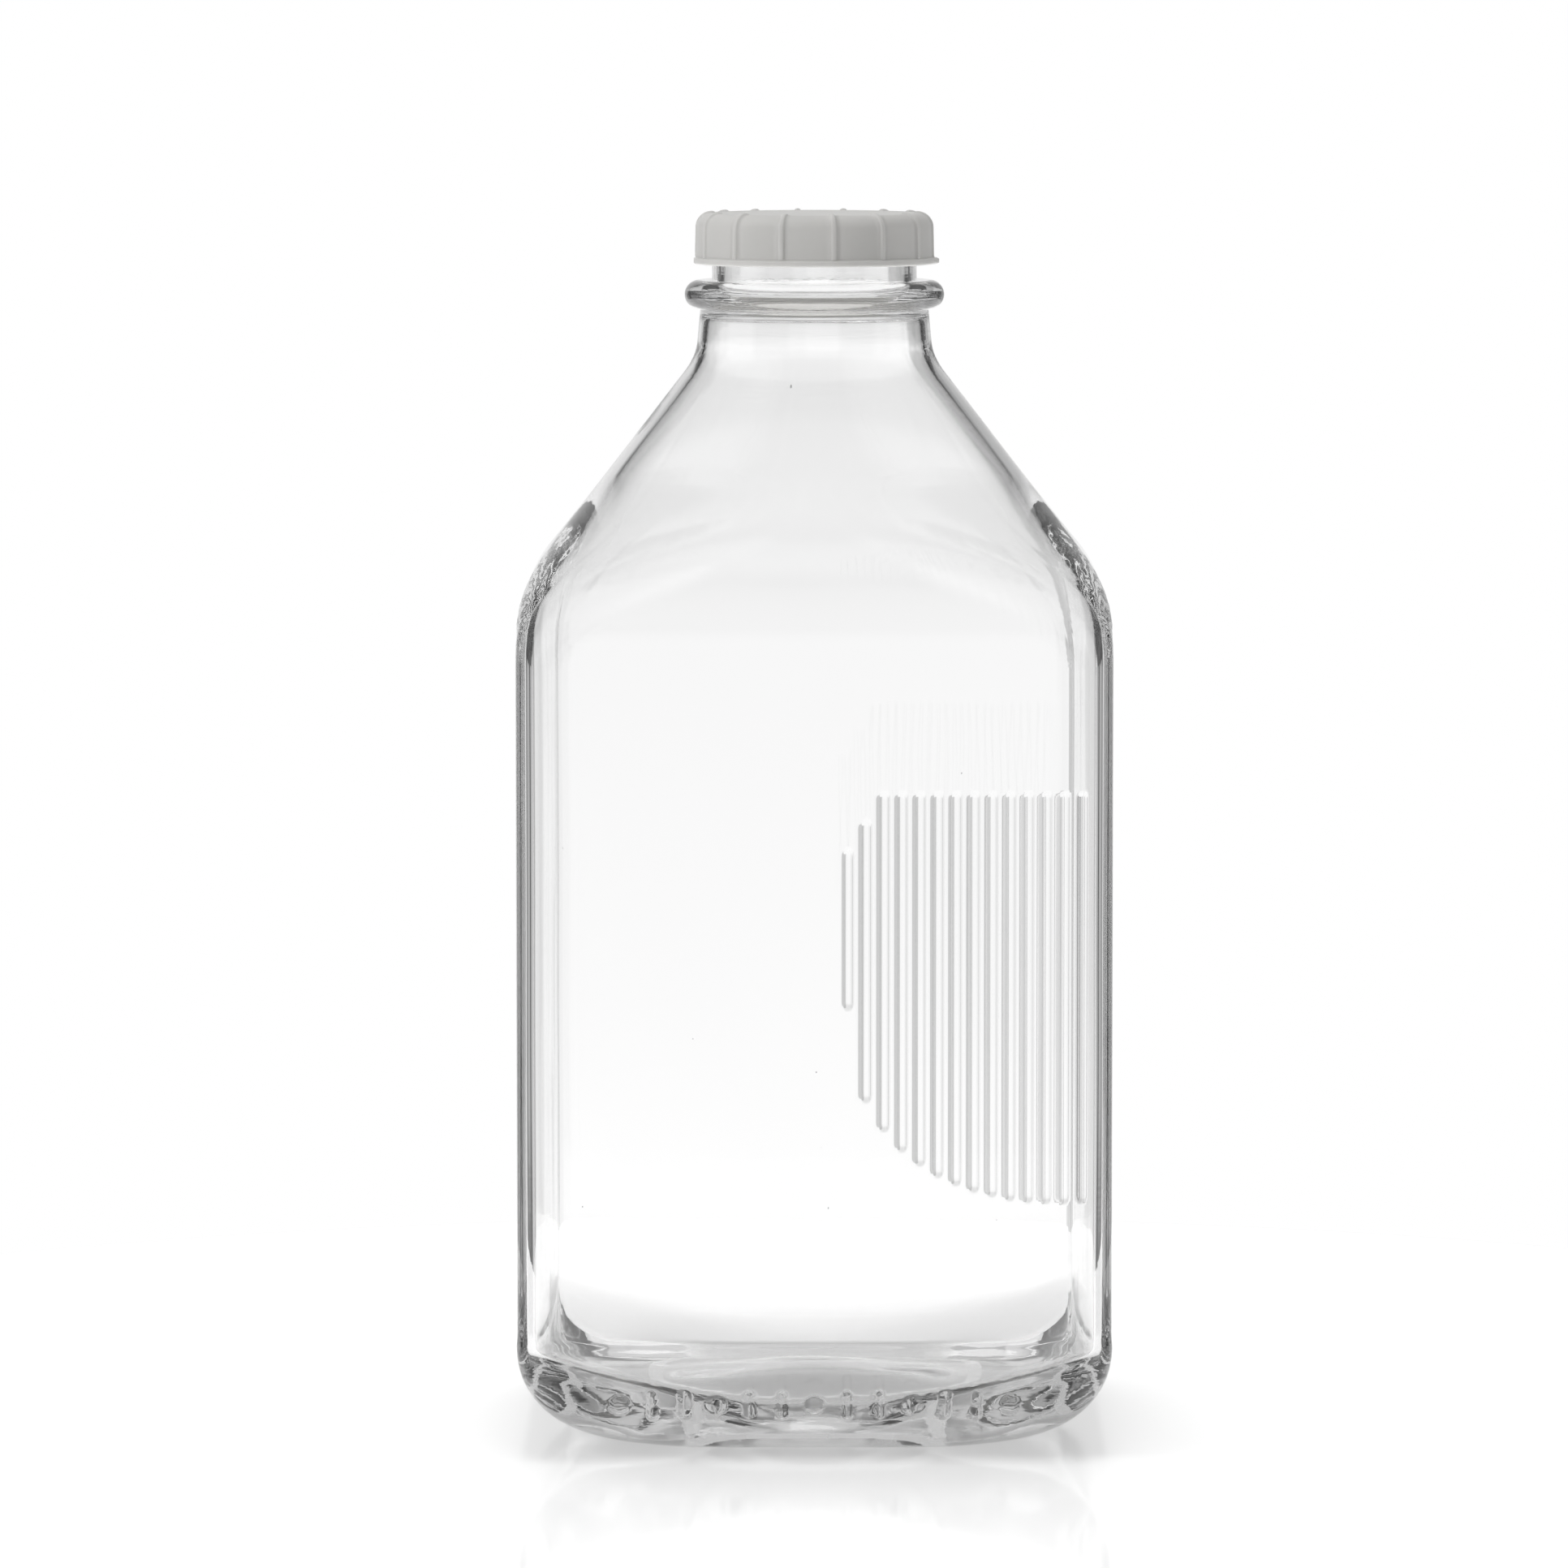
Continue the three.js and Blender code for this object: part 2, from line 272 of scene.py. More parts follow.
def arc(start, end, count):
    return np.radians(np.linspace(start, end, count))


# ---------------------------------------------------------------- the bottle

def cone_radius(z):
    return CONE_R + CONE_SLOPE * (CONE_Z - z)


def outer_round(z):
    return smooth_max(cone_radius(z), NECK_LOW_R - NECK_TAPER * (z - NECK_LOW_Z), NECK_BLEND)


def wall(z):
    """The side wall's thickness, thinner up the shoulder."""
    return mix(WALL, CONE_WALL, ramp((z - THIN_LOW_Z) / (THIN_HIGH_Z - THIN_LOW_Z)))


def inner_round(z):
    neck = NECK_LOW_R - NECK_TAPER * (z - NECK_LOW_Z) - NECK_WALL
    bore = mix(neck, BORE_R, ramp((z - BORE_LOW_Z) / (BORE_HIGH_Z - BORE_LOW_Z)))
    return smooth_max(cone_radius(z) - wall(z) * math.hypot(1, CONE_SLOPE), bore, NECK_BLEND)


def front_angles(x):
    """Angles at which the front face, with its rounded right end, stands at each x."""
    past = np.maximum(x - FLAT_END, 0)
    return np.arctan2(-(FLAT_END + np.sqrt(CORNER_R ** 2 - past ** 2)), x)


def rib_columns():
    """Where the columns cross the front face, finer over the grip ribs."""
    per_rib = np.array([-0.98, -0.82, -0.5, 0, 0.5, 0.82, 0.98, 1.36]) * RIB_W / 2
    ribs = [RIB_FIRST_X + i * RIB_PITCH + per_rib for i in range(RIB_COUNT)]
    right = np.concatenate(ribs)
    left = np.linspace(-FLAT_END, right[0] - 0.6, 92)
    return np.concatenate([left, right])


def column_angles():
    """Angles of the upright columns, with the corners' columns spread evenly round each corner's own turn."""
    flat = np.concatenate([[0.3], np.linspace(1.4, 2 * FLAT_END - 1.4, 19), [2 * FLAT_END - 0.3]]) - FLAT_END
    turns = np.radians(np.linspace(0, 90, CORNER_COLUMNS))
    corner = np.arctan2(FLAT_END + CORNER_R * np.sin(turns), FLAT_END + CORNER_R * np.cos(turns))
    parts = [front_angles(rib_columns())]
    parts += [quarter * math.pi / 2 + np.arctan2(flat, BODY_HALF) for quarter in range(3)]
    parts += [quarter * math.pi / 2 + corner for quarter in range(4)]
    angles = np.sort(np.mod(np.concatenate(parts), 2 * math.pi))
    gaps = np.diff(angles, append=angles[0] + 2 * math.pi)
    return angles[gaps > LEAST_GAP]


ANGLES = column_angles()
ACROSS = np.stack([np.cos(ANGLES), np.sin(ANGLES)], axis=1)


def ring(radii, z):
    radii = np.broadcast_to(radii, ANGLES.shape)
    return np.column_stack([ACROSS * radii[:, None], np.full(len(ANGLES), z)])


def square_ring(half, corner, z, melt=0.0):
    """A level of the glass. Its flats and corners melt into each other over the angle melt, in degrees."""
    corner = min(corner, half * 0.999)
    steps = np.linspace(-1, 1, MELT_STEPS)
    offsets = np.radians(melt) * steps
    weights = 1.1 - np.abs(steps)
    radii = sum(weight * square_radius(ANGLES + offset, half, corner) for weight, offset in zip(weights, offsets))
    return ring(radii / weights.sum(), z)


def shoulder_ring(round_r, side, corner, z):
    half = smooth_min(round_r, side, SHOULDER_BLEND)
    squareness = ramp((ROUND_Z - z) / (ROUND_Z - SQUARE_Z))
    return square_ring(half, mix(half, corner, squareness), z)


def body_ring(z):
    proud = HEEL_PROUD * ramp(1 - (z - HEEL_H) / HEEL_STEP)
    return shoulder_ring(outer_round(z), BODY_HALF + proud, CORNER_R, z)


def inner_ring(z):
    return shoulder_ring(inner_round(z), BODY_HALF - wall(z), INNER_CORNER_R, z)


def outer_heel_ring(turn):
    t = math.sin(turn)
    half = BODY_HALF + HEEL_PROUD - HEEL_IN * (1 - t)
    return square_ring(half, mix(BASE_CORNER_R, CORNER_R, t), HEEL_H * (1 - math.cos(turn)), HEEL_MELT * (1 - t))


def inner_heel_ring(turn):
    t = math.sin(turn)
    half = BODY_HALF - WALL - (HEEL_IN - WALL) * (1 - t)
    corner = mix(half * INNER_BASE_ROUND, INNER_CORNER_R, t ** INNER_SQUARING)
    return square_ring(half, corner, FLOOR_T + (HEEL_H - FLOOR_T) * (1 - math.cos(turn)), HEEL_MELT * (1 - t))


def dome_shape(t):
    """The pushed-up base's share of its full height, level at its middle and at its edge."""
    return (1 - t ** 2) ** 2


def underside_rings():
    half = BODY_HALF + HEEL_PROUD - HEEL_IN - BEARING_W
    dome = [square_ring(half * t, half * t * mix(DOME_ROUND, DOME_EDGE_ROUND, t), PUSH_UP * dome_shape(t), HEEL_MELT)
            for t in np.linspace(0.06, 0.98, 20)]
    flat = [square_ring(half + w, mix(half * DOME_EDGE_ROUND, BASE_CORNER_R, w / BEARING_W), 0, HEEL_MELT)
            for w in np.linspace(0.2, BEARING_W - 0.2, 5)]
    return dome + flat


def outside_rings():
    heel = [outer_heel_ring(turn) for turn in arc(2, 90, 66)]
    heights = np.concatenate([
        np.linspace(HEEL_H, HEEL_H + HEEL_STEP, 6)[1:],
        np.linspace(27, RIB_LOW_Z - 1, 8),
        np.arange(RIB_LOW_Z - 0.5, RIB_MID_Z + 1.5, 0.5),
        np.linspace(RIB_MID_Z + 3, RIB_TOP_Z - 13, 9),
        np.arange(RIB_TOP_Z - 12, RIB_TOP_Z + 1, 0.4),
        np.linspace(RIB_TOP_Z + 3, SQUARE_Z, 9),
        np.linspace(SQUARE_Z + 1.2, ROUND_Z, 30),
        np.linspace(ROUND_Z + 2.5, NECK_LOW_Z - 4, 8),
        np.linspace(NECK_LOW_Z - 3, NECK_LOW_Z + 4, 14),
        np.linspace(NECK_LOW_Z + 5, BEAD_Z - BEAD_TUBE * 1.02, 5),
    ])
    return heel + [body_ring(z) for z in heights]


def finish_rings():
    bead = [ring(BEAD_MID_R + BEAD_TUBE * math.cos(t), BEAD_Z + BEAD_TUBE * math.sin(t)) for t in arc(-82, 150, 34)]
    foot = ring(FINISH_R, BEAD_Z + BEAD_TUBE * BEAD_FOOT)
    neck = [ring(FINISH_R, z) for z in np.linspace(BEAD_Z + BEAD_TUBE, LOCK_Z - 2, 5)]
    swell = np.linspace(-LOCK_HALF, LOCK_HALF, 13)
    lock = [ring(FINISH_R + (LOCK_R - FINISH_R) * ramp(1.25 * (1 - abs(u) / LOCK_HALF)), LOCK_Z + u)
            for u in swell]
    outer = [ring(FINISH_R - LIP_ROUND * (1 - math.cos(t)), LIP_Z - LIP_ROUND * (1 - math.sin(t)))
             for t in arc(0, 90, 8)]
    inner = [ring(BORE_R + LIP_ROUND * (1 - math.cos(t)), LIP_Z - LIP_ROUND * (1 - math.sin(t)))
             for t in arc(90, 0, 8)]
    return bead + [foot] + neck + lock + outer + inner


def inside_rings():
    heights = np.concatenate([
        np.linspace(LIP_Z - 3, BORE_HIGH_Z, 5),
        np.linspace(BORE_HIGH_Z - 0.7, BORE_LOW_Z, 13),
        np.linspace(BORE_LOW_Z - 0.7, NECK_LOW_Z - 7, 18),
        np.linspace(ROUND_Z + 14, ROUND_Z, 8),
        np.linspace(ROUND_Z - 1.5, SQUARE_Z, 26),
        np.linspace(SQUARE_Z - 3, HEEL_H + 3, 40),
    ])
    heel = [inner_heel_ring(turn) for turn in arc(90, 2, 32)]
    half = BODY_HALF - HEEL_IN
    floor = [square_ring(half * t, half * t * INNER_BASE_ROUND, FLOOR_T + PUSH_UP * dome_shape(t), HEEL_MELT)
             for t in np.linspace(0.98, 0.06, 20)]
    return [inner_ring(z) for z in heights] + heel + floor


def rib_span(i):
    across = 1 - min(i / RIB_CURVE_SPAN, 1)
    curve = (1 - across ** RIB_CURVE) ** (1 / RIB_CURVE)
    return mix(RIB_MID_Z, RIB_LOW_Z, curve), RIB_TOP_Z - RIB_STEP_Z * max(2 - i, 0)


def bar_height(x, z, centre, low, high, radius, height):
    """How far a round-ended upright bar stands out at each point."""
    low, high = low + radius, high - radius
    away = np.hypot(x - centre, z - np.clip(z, low, high)) / radius
    return height * np.sqrt(np.maximum(1 - away ** 2, 0)) * ramp((1 - away) * 6)


def front_relief(points):
    """How far the grip ribs and the mould marks stand out from the front at each point."""
    x, y, z = points[..., 0], points[..., 1], points[..., 2]
    relief = np.zeros_like(x)
    for i in range(RIB_COUNT):
        low, high = rib_span(i)
        relief = np.maximum(relief, bar_height(x, z, RIB_FIRST_X + i * RIB_PITCH, low, high, RIB_W / 2, RIB_H))
    for i in range(MARK_COUNT):
        centre = (i - (MARK_COUNT - 1) / 2) * MARK_PITCH
        radius, reach = (DOT_R, DOT_R) if i % 3 == 0 else (BAR_R, BAR_REACH)
        relief = np.maximum(relief, bar_height(x, z, centre, MARK_Z - reach, MARK_Z + reach, radius, MARK_H))
    return np.where(y < -0.6 * BODY_HALF, relief, 0)


def ripple(points):
    """The slow, uneven waviness of the inside of a blown bottle."""
    x, y, z = points[..., 0], points[..., 1], points[..., 2]
    wave = np.sin(x / 9.1 + z / 31) + np.sin(y / 8.3 - z / 23 + 1.3) + np.sin(z / 12.7 + x / 17 + 2.1)
    return RIPPLE * (wave + 0.5 * np.sin(x / 4.3 + y / 5.1 + z / 9.7)) / 3.5


def heel_waves(points):
    """The settled, uneven inside of the heel: long low waves that lie level and fade out up the sides."""
    waves = [noise.noise(Vector((x / 24, y / 24, z / 3.6))) + 0.3 * noise.noise(Vector((x / 9, y / 9, z / 1.6)))
             for x, y, z in points.reshape(-1, 3).tolist()]
    fade = ramp((HEEL_WAVES_TOP - points[..., 2]) / HEEL_WAVES_FADE)
    return HEEL_WAVES * fade * np.array(waves).reshape(points.shape[:2])


def seeds():
    """Points and faces of small upright bubbles inside the walls, facing into the bubble."""
    chance = random.Random(SEED_DRAW)
    points, faces = [], []
    turns = np.radians(np.arange(0, 360, 45))
    for _ in range(SEED_COUNT):
        angle, z, radius = chance.uniform(0, 2 * math.pi), chance.uniform(*SEED_Z), chance.uniform(*SEED_R)
        depth, tall = chance.uniform(*SEED_DEPTH), chance.uniform(*SEED_TALL)
        rings = body_ring(z)
        out = float(np.interp(angle, ANGLES, np.hypot(rings[:, 0], rings[:, 1]))) - depth * math.hypot(1, CONE_SLOPE)
        centre = np.array([out * math.cos(angle), out * math.sin(angle), z])
        loops = [[(math.cos(t) * math.cos(u), math.sin(t) * math.cos(u), tall * math.sin(u)) for t in turns]
                 for u in np.radians([-60, -30, 0, 30, 60])]
        ball, sides = loft(np.array(loops), (0, 0, -tall), (0, 0, tall))
        faces += [[corner + len(points) for corner in face[::-1]] for face in sides]
        points += list(centre + radius * ball)
    return np.array(points), faces


def make_bottle(material):
    outside = np.array(outside_rings())
    outside += grid_normals(outside) * front_relief(outside)[..., None]
    inside = np.array(inside_rings())
    inside += grid_normals(inside) * (ripple(inside) + heel_waves(inside))[..., None]
    rings = np.concatenate([np.array(underside_rings()), outside, np.array(finish_rings()), inside])
    points, faces = loft(rings, (0, 0, PUSH_UP), (0, 0, PUSH_UP + FLOOR_T))
    bubbles, bubble_faces = seeds()
    faces += [[corner + len(points) for corner in face] for face in bubble_faces]
    return mesh_object("bottle_glass", np.vstack([points, bubbles]), faces, material)


# ---------------------------------------------------------------- the cap

def cap_stops():
    """The cap's outline from under the disc's centre, out and over to the top: radius, height, rib out and up."""
    skirt_in = CAP_R - CAP_WALL
    plug_in = PLUG_R - PLUG_T
    under = CAP_TOP_Z - DISC_T
    stops = [(r, under, 0, 0) for r in np.linspace(2, plug_in - PLUG_ROUND, 7)]
    stops += [(plug_in - PLUG_ROUND * (1 - math.sin(t)), under - PLUG_ROUND * (1 - math.cos(t)), 0, 0)
              for t in arc(30, 90, 3)]
    stops += [(plug_in, z, 0, 0) for z in np.linspace(under - 0.8, under - PLUG_H + 0.3, 4)]
    plug_mid = PLUG_R - PLUG_T / 2
    stops += [(plug_mid - PLUG_T / 2 * math.cos(t), under - PLUG_H + PLUG_ROUND * (1 - math.sin(t)), 0, 0)
              for t in arc(0, 180, 9)]
    stops += [(PLUG_R, under - 0.6, 0, 0), (PLUG_R + 0.1, under - 0.2, 0, 0), (PLUG_R + 0.4, under, 0, 0)]
    stops += [(r, under, 0, 0) for r in np.linspace(PLUG_R + 1, skirt_in - 1.2, 4)]
    stops += [(skirt_in - 1 + math.sin(t), under - 1 + math.cos(t), 0, 0) for t in arc(10, 90, 5)]
    swell = np.linspace(1, -1, 9)
    stops += [(skirt_in, z, 0, 0) for z in np.linspace(under - 1.8, SNAP_Z + 1.3, 4)]
    stops += [(skirt_in - (skirt_in - SNAP_R) * math.cos(u * math.pi / 2) ** 2, SNAP_Z + SNAP_HALF * u, 0, 0)
              for u in swell]
    edge = SKIRT_EDGE_ROUND
    stops += [(skirt_in + edge * (1 - math.cos(t)), CAP_LOW_Z + edge * (1 - math.sin(t)), 0, 0) for t in arc(0, 90, 4)]
    edge = RIM_ROUND
    rim_top = CAP_LOW_Z + RIM_H
    stops += [(RIM_R - edge + edge * math.sin(t), CAP_LOW_Z + edge - edge * math.cos(t), 0, 0) for t in arc(0, 90, 6)]
    stops += [(RIM_R - edge + edge * math.cos(t), rim_top - edge + edge * math.sin(t), 0, 0) for t in arc(0, 80, 6)]
    stops += [(CAP_R + 0.22, rim_top, 0.1, 0), (CAP_R + 0.12, rim_top + 0.12, 0.7, 0)]
    shoulder_z = CAP_TOP_Z - CAP_ROUND
    stops += [(mix(CAP_R + 0.1, CAP_R, u), mix(rim_top + 0.35, shoulder_z, u), 1, 0) for u in np.linspace(0, 0.97, 7)]
    turn_r = CAP_R - CAP_ROUND
    stops += [(turn_r + CAP_ROUND * math.cos(t), shoulder_z + CAP_ROUND * math.sin(t), math.cos(t), math.sin(t))
              for t in arc(0, 90, 14)]
    stops += [(CAP_RIB_START_R + 0.4, CAP_TOP_Z, 0, 0.9), (CAP_RIB_START_R + 0.15, CAP_TOP_Z, 0, 0.5)]
    stops += [(CAP_RIB_START_R, CAP_TOP_Z, 0, 0.1), (CAP_RIB_START_R - 0.3, CAP_TOP_Z, 0, 0)]
    stops += [(r, CAP_TOP_Z - CAP_DISH * ramp((18 - r) / 2), 0, 0) for r in np.linspace(18.6, 1.5, 14)]
    return np.array(stops, dtype=float)


def cap_columns():
    """Angles round the cap, finer over each rib, with how much of a rib stands there."""
    pitch = 360 / CAP_RIBS
    rise = np.array([-1, -0.85, -0.6, -0.3, 0, 0.3, 0.6, 0.85, 1])
    flat = np.linspace(0, 1, 10)[1:-1] * (pitch - 2 * CAP_RIB_HALF) + CAP_RIB_HALF
    angles = []
    shares = []
    for i in range(CAP_RIBS):
        centre = CAP_RIB_PHASE - 90 + i * pitch
        angles += list(centre + rise * CAP_RIB_HALF) + list(centre + flat)
        shares += list(np.sqrt(1 - np.abs(rise) ** 2.5)) + [0] * len(flat)
    return np.radians(angles), np.array(shares)


def tab_reach(angles, z):
    """How far the small lift tab on the right stands out of the rim."""
    away = np.degrees(np.abs(np.mod(angles + math.pi, 2 * math.pi) - math.pi)) / TAB_HALF
    middle = CAP_LOW_Z + RIM_H / 2
    return TAB_OUT * ramp(1.6 * (1 - away)) * ramp(1.5 * (1 - abs(z - middle) / (RIM_H * 0.75)))


def make_cap(material):
    angles, shares = cap_columns()
    rings = []
    for r, z, out, up in cap_stops():
        reach = r + out * shares * CAP_RIB_H
        if r > CAP_R + 0.1:
            reach = reach + tab_reach(angles, z)
        height = np.full(len(angles), z) + up * shares * CAP_RIB_H
        rings.append(np.column_stack([reach * np.cos(angles), reach * np.sin(angles), height]))
    under = CAP_TOP_Z - DISC_T
    points, faces = loft(np.array(rings), (0, 0, under), (0, 0, CAP_TOP_Z - CAP_DISH))
    return mesh_object("cap_moulding", points, faces, material)


# ---------------------------------------------------------------- shader nodes

def set_stops(color_ramp, stops):
    """Fills a colour ramp with (position, brightness) stops."""
    elements = color_ramp.elements
    while len(elements) > 1:
        elements.remove(elements[-1])
    for i, (position, value) in enumerate(stops):
        element = elements[0] if i == 0 else elements.new(position)
        element.position = position
        element.color = (value, value, value, 1)


def math_node(tree, operation, *values):
    node = tree.nodes.new("ShaderNodeMath")
    node.operation = operation
    for socket, value in zip(node.inputs, values):
        if isinstance(value, (int, float)):
            socket.default_value = value
        else:
            tree.links.new(value, socket)
    return node.outputs[0]


def ramp_node(tree, value, stops):
    node = tree.nodes.new("ShaderNodeValToRGB")
    set_stops(node.color_ramp, stops)
    tree.links.new(value, node.inputs["Fac"])
    return node.outputs["Color"]


def mix_node(tree, blend, factor, first, second):
    """A colour mix of two colours, each a socket or a brightness."""
    node = tree.nodes.new("ShaderNodeMix")
    node.data_type = "RGBA"
    node.blend_type = blend
    sockets = [s for s in node.inputs if s.enabled]
    for socket, value in zip(sockets, (factor, first, second)):
        if isinstance(value, (int, float)):
            socket.default_value = value if socket.type == "VALUE" else (value, value, value, 1)
        else:
            tree.links.new(value, socket)
    return [s for s in node.outputs if s.enabled][0]


def noise_node(tree, place, scale, detail):
    """Noise over the object's own coordinates, stretched by a scale per metre along each axis."""
    stretch = tree.nodes.new("ShaderNodeMapping")
    stretch.inputs["Scale"].default_value = scale
    tree.links.new(place, stretch.inputs["Vector"])
    field = tree.nodes.new("ShaderNodeTexNoise")
    field.inputs["Scale"].default_value = 1
    field.inputs["Detail"].default_value = detail
    tree.links.new(stretch.outputs[0], field.inputs["Vector"])
    return field.outputs["Fac"]


def bump_node(tree, height, distance, normal=None):
    """A relief of the given depth in millimetres."""
    bump = tree.nodes.new("ShaderNodeBump")
    bump.inputs["Strength"].default_value = 1
    bump.inputs["Distance"].default_value = distance * MM
    tree.links.new(height, bump.inputs["Height"])
    if normal:
        tree.links.new(normal, bump.inputs["Normal"])
    return bump.outputs[0]


# ---------------------------------------------------------------- materials

def new_material(name):
    material = bpy.data.materials.new(name)
    material.use_nodes = True
    tree = material.node_tree
    return material, tree, tree.nodes["Principled BSDF"]


def glass_material():
    material, tree, shader = new_material("clear_glass")
    shader.inputs["Base Color"].default_value = (1, 1, 1, 1)
    shader.inputs["Transmission Weight"].default_value = 1
    shader.inputs["IOR"].default_value = GLASS_IOR
    shader.inputs["Roughness"].default_value = 0.0
    place = tree.nodes.new("ShaderNodeTexCoord").outputs["Object"]
    height = tree.nodes.new("ShaderNodeSeparateXYZ")
    tree.links.new(place, height.inputs[0])
    share = math_node(tree, "MULTIPLY", height.outputs["Z"], 1 / (WORKED_SPAN * MM))
    worked = ramp_node(tree, share, WORKED_GLASS)
    streaks = mix_node(tree, "MULTIPLY", 1.0, noise_node(tree, place, STREAKS, 3), worked)
    bump = bump_node(tree, streaks, GLASS_RELIEF)
    tree.links.new(bump_node(tree, noise_node(tree, place, WAVES, 2), GLASS_RELIEF, bump), shader.inputs["Normal"])
    body = tree.nodes.new("ShaderNodeVolumeAbsorption")
    body.inputs["Color"].default_value = (0.0, 0.0, 0.0, 1)
    body.inputs["Density"].default_value = GLASS_DENSITY
    output = [node for node in tree.nodes if node.type == "OUTPUT_MATERIAL"][0]
    tree.links.new(body.outputs[0], output.inputs["Volume"])
    return material


def plastic_material():
    material, tree, shader = new_material("cap_plastic")
    place = tree.nodes.new("ShaderNodeTexCoord").outputs["Object"]
    flow = noise_node(tree, place, CAP_FLOW, 3)
    tone = tree.nodes.new("ShaderNodeMix")
    tone.data_type = "RGBA"
    tone.inputs["A"].default_value, tone.inputs["B"].default_value = CAP_TONES
    tree.links.new(flow, tone.inputs["Factor"])
    tree.links.new(tone.outputs["Result"], shader.inputs["Base Color"])
    tree.links.new(math_node(tree, "MULTIPLY_ADD", flow, CAP_UNEVEN, CAP_SMOOTH), shader.inputs["Roughness"])
    grain = noise_node(tree, place, CAP_GRAIN, 2)
    tree.links.new(bump_node(tree, grain, CAP_GRAIN_H), shader.inputs["Normal"])
    shader.inputs["Subsurface Weight"].default_value = 0.7
    shader.inputs["Subsurface Radius"].default_value = (1, 1, 1)
    shader.inputs["Subsurface Scale"].default_value = 0.0016
    return material


def floor_material():
    """White acrylic, lit from below."""
    material, _, shader = new_material("white_floor")
    shader.inputs["Base Color"].default_value = (0.6, 0.6, 0.6, 1)
    shader.inputs["Roughness"].default_value = 0.1
    shader.inputs["Specular IOR Level"].default_value = 0.3
    shader.inputs["Emission Color"].default_value = (1, 1, 1, 1)
    shader.inputs["Emission Strength"].default_value = 0.3
    return material


# ---------------------------------------------------------------- the studio

def make_floor(material):
    turns = np.radians(np.arange(0, 360, 3))
    rings = [[(r * math.cos(t), r * math.sin(t), 0) for t in turns]
             for r in np.linspace(FLOOR_R / FLOOR_RINGS, FLOOR_R, FLOOR_RINGS)]
    below = [[(FLOOR_R * math.cos(t), FLOOR_R * math.sin(t), -FLOOR_DEPTH) for t in turns]]
    points, faces = loft(np.array(rings + below), (0, 0, 0), (0, 0, -FLOOR_DEPTH))
    floor = mesh_object("floor", points, [face[::-1] for face in faces], material)
    for polygon in floor.data.polygons:
        polygon.use_smooth = False
    return floor


def make_world():
    """White all round for the eye. The glass and the cap also see dark flags between the soft panels."""
    world = bpy.data.worlds.new("studio")
    bpy.context.scene.world = world
    world.use_nodes = True
    tree = world.node_tree
    tree.nodes.clear()
    direction = tree.nodes.new("ShaderNodeTexCoord").outputs["Generated"]
    split = tree.nodes.new("ShaderNodeSeparateXYZ")
    tree.links.new(direction, split.inputs[0])
    azimuth = math_node(tree, "ARCTAN2", split.outputs["X"], split.outputs["Y"])
    quarters = math_node(tree, "MULTIPLY_ADD", azimuth, 4 / (2 * math.pi), 4.0)
    place = math_node(tree, "FRACT", quarters)
    level_flags = ramp_node(tree, place, [
        (0, 1), (0.085, 1), (0.1, GREY_FLAG), (0.27, GREY_FLAG), (0.28, MID_FLAG), (0.35, MID_FLAG), (0.36, DARK_FLAG),
        (0.4, DARK_FLAG), (0.41, MID_FLAG), (0.59, MID_FLAG), (0.6, DARK_FLAG), (0.645, DARK_FLAG), (0.65, MID_FLAG),
        (0.74, MID_FLAG), (0.76, PALE_FLAG), (0.9, PALE_FLAG), (0.92, 1), (1, 1)])
    tilted_flags = ramp_node(tree, place, [
        (0, 1), (0.085, 1), (0.1, GREY_FLAG), (0.27, GREY_FLAG), (0.31, TILTED_FLAG), (0.69, TILTED_FLAG),
        (0.74, PALE_FLAG), (0.9, PALE_FLAG), (0.92, 1), (1, 1)])
    height = math_node(tree, "MULTIPLY_ADD", split.outputs["Z"], 0.5, 0.5)
    near_level = ramp_node(tree, height, [(0, 0), (0.43, 0), (0.435, 1), (0.49, 1), (0.5, 0), (1, 0)])
    flags = mix_node(tree, "MIX", near_level, tilted_flags, level_flags)
    reach = ramp_node(tree, height, [(0, 0), (0.41, 0), (0.43, 1), (0.7, 1), (0.78, 0)])
    around = mix_node(tree, "MIX", reach, 1.0, flags)
    sky = ramp_node(tree, height, [
        (0, 1.02), (0.434, 1.02), (0.446, 0.982), (0.472, 0.94), (0.483, 0.86), (0.5, 0.82), (0.587, 0.75),
        (0.66, 0.6), (0.8, 0.35), (1, 0.25)])
    soft = tree.nodes.new("ShaderNodeBackground")
    tree.links.new(mix_node(tree, "MULTIPLY", 1.0, around, sky), soft.inputs["Color"])
    path = tree.nodes.new("ShaderNodeLightPath")
    depth = math_node(tree, "MULTIPLY_ADD", split.outputs["Y"], 0.5, 0.5)
    even = tree.nodes.new("ShaderNodeBackground")
    tree.links.new(ramp_node(tree, depth, [(0, FRONT_SKY), (0.45, FRONT_SKY), (0.9, BACK_SKY), (1, BACK_SKY)]),
                   even.inputs["Color"])
    matte = tree.nodes.new("ShaderNodeMixShader")
    tree.links.new(path.outputs["Is Diffuse Ray"], matte.inputs["Fac"])
    tree.links.new(soft.outputs[0], matte.inputs[1])
    tree.links.new(even.outputs[0], matte.inputs[2])
    plain = tree.nodes.new("ShaderNodeBackground")
    plain.inputs["Color"].default_value = (1, 1, 1, 1)
    choose = tree.nodes.new("ShaderNodeMixShader")
    tree.links.new(path.outputs["Is Camera Ray"], choose.inputs["Fac"])
    tree.links.new(matte.outputs[0], choose.inputs[1])
    tree.links.new(plain.outputs[0], choose.inputs[2])
    output = tree.nodes.new("ShaderNodeOutputWorld")
    tree.links.new(choose.outputs[0], output.inputs["Surface"])


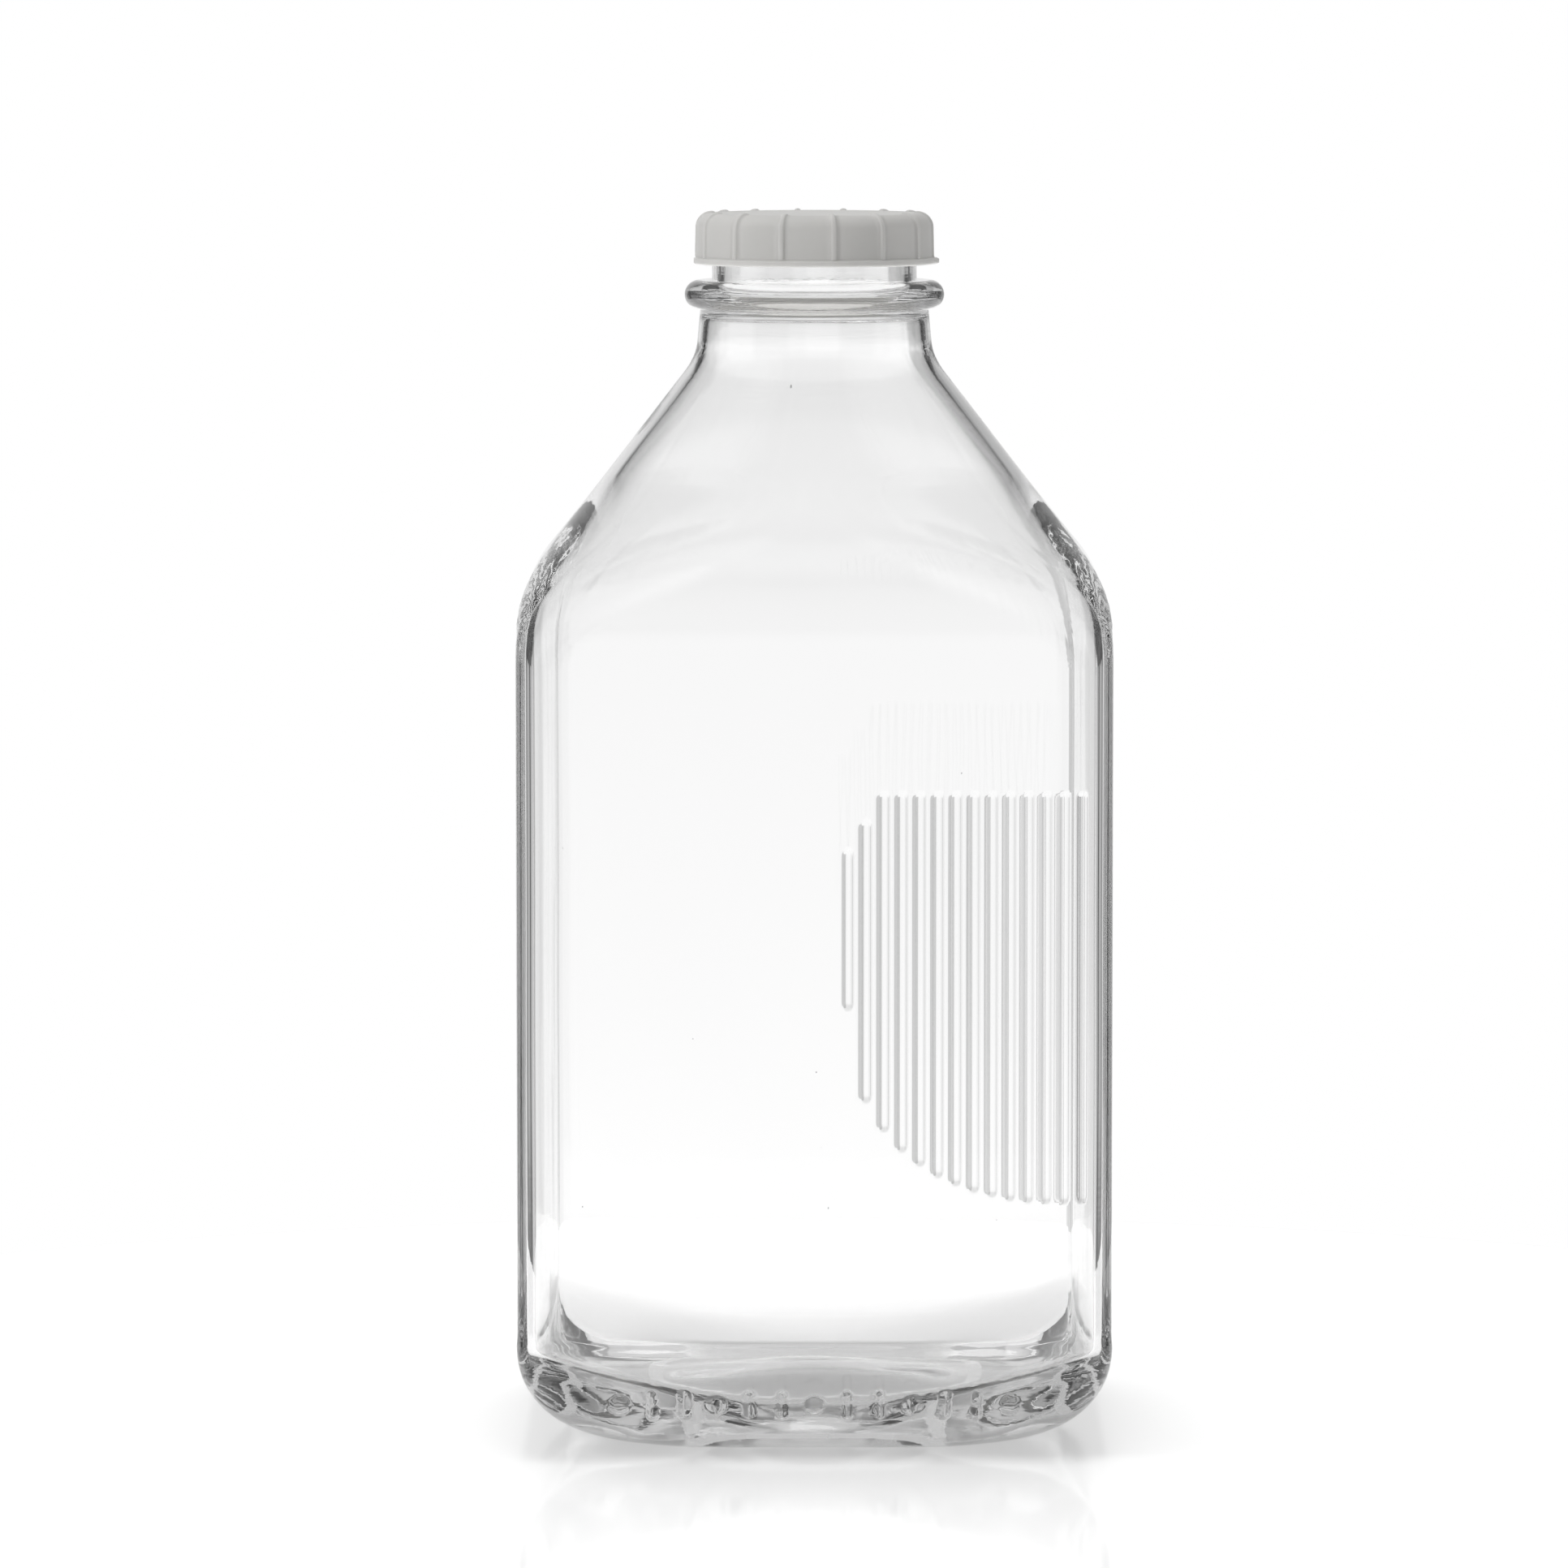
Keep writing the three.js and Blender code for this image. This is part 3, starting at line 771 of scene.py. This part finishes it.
def soft_box(name, place, size, energy, only=None, past_glass=False):
    """A soft box, so wide and so deep, aimed at the bottle's neck. Glass and gloss don't mirror it.

    It lights everything, or one object only, and that one can also be lit straight through the glass.
    """
    light = bpy.data.lights.new(name, "AREA")
    light.shape = "ELLIPSE"
    light.size, light.size_y = size
    light.energy = energy
    box = bpy.data.objects.new(name, light)
    box.location = place
    aim = Vector((0, 0, LIGHT_AIM_UP * MM)) - box.location
    box.rotation_euler = aim.to_track_quat("-Z", "Y").to_euler()
    box.visible_camera = False
    box.visible_glossy = False
    box.visible_transmission = False
    bpy.context.scene.collection.objects.link(box)
    if only:
        lit = bpy.data.collections.new(name + "_lights")
        lit.objects.link(only)
        box.light_linking.receiver_collection = lit
        if past_glass:
            box.light_linking.blocker_collection = lit


def make_lights(floor, cap):
    """A large soft box over the bottle, one at the left front, a strip for the floor, and light up into the cap."""
    soft_box("top_box", (0, 0, 1.3), (0.8, 0.8), 3)
    soft_box("left_box", (-0.7, -0.5, 0.6), (0.4, 0.4), 3)
    soft_box("floor_box", (0, 0, 1.3), (0.36, 2.6), 18, floor)
    soft_box("light_table", (0, 0, -0.3), (0.3, 0.3), 2.4, cap, past_glass=True)


def make_camera():
    camera = bpy.data.objects.new("camera", bpy.data.cameras.new("camera"))
    camera.location = (0, -CAMERA_BACK * MM, CAMERA_UP * MM)
    aim = Vector((0, 0, AIM_UP * MM)) - camera.location
    camera.rotation_euler = aim.to_track_quat("-Z", "Y").to_euler()
    camera.data.lens = LENS
    camera.data.sensor_width = 36
    camera.data.shift_x = FRAME_SHIFT
    camera.data.clip_end = 20
    bpy.context.scene.collection.objects.link(camera)
    bpy.context.scene.camera = camera


def set_look():
    scene = bpy.context.scene
    scene.view_settings.view_transform = "Standard"
    scene.cycles.max_bounces = 96
    scene.cycles.transmission_bounces = 64
    scene.cycles.glossy_bounces = 64
    scene.cycles.diffuse_bounces = 4


make_camera()
make_world()
floor = make_floor(floor_material())
set_look()

bottle = make_bottle(glass_material())
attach(bottle, "bottle")
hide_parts("glass_bottle")

cap = make_cap(plastic_material())
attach(cap, "lid")
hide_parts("cap")

make_lights(floor, cap)
